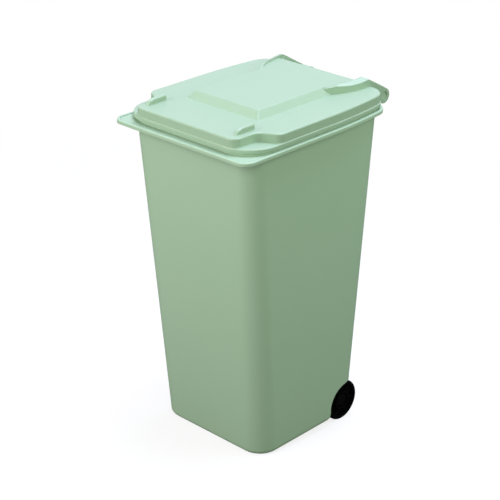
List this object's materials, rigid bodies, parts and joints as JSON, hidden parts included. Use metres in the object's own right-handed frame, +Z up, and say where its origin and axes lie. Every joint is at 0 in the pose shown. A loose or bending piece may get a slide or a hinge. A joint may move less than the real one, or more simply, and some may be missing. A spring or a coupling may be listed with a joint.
{
  "type": "wheeled desk bin",
  "caption": "Small desk bin shaped like a wheeled kerbside bin: tapered tub, hinged lid with a raised panel, wheels on an axle, rear rod",
  "frame": {"origin": "Centre of the bounding box's bottom face, on the floor the bin stands on, with the lid shut.", "axes": "+Z up, the height; X across the bin between its wheels; the front with the lid's grip faces -Y and the hinge and wheels are at +Y."},
  "size_m": [0.0776, 0.102, 0.1606],
  "materials": {
    "green_plastic": "satin moulded, pale sage green",
    "rod_plastic": "satin moulded, the tub's green",
    "axle_steel": "bright drawn wire",
    "black_plastic": "matte moulded black",
    "cap_plastic": "satin moulded black"
  },
  "bodies": {
    "bin": {"bin_body": "green_plastic", "hinge_rod": "rod_plastic", "axle": "axle_steel", "wheel_cap_left": "cap_plastic", "wheel_cap_right": "cap_plastic"},
    "lid": {"lid": "green_plastic"},
    "left_wheel": {"wheel_left": "black_plastic"},
    "right_wheel": {"wheel_right": "black_plastic"}
  },
  "joints": [
    {"name": "lid_hinge", "type": "hinge", "parent": "bin", "child": "lid", "pos_m": [0, 0.04761, 0.15103], "axis": [-1, 0, 0], "range_deg": [0, 270]},
    {"name": "wheel_left_spin", "type": "hinge", "parent": "bin", "child": "left_wheel", "pos_m": [-0.026, 0.03287, 0.0096], "axis": [1, 0, 0], "continuous": true},
    {"name": "wheel_right_spin", "type": "hinge", "parent": "bin", "child": "right_wheel", "pos_m": [0.026, 0.03287, 0.0096], "axis": [1, 0, 0], "continuous": true}
  ]
}
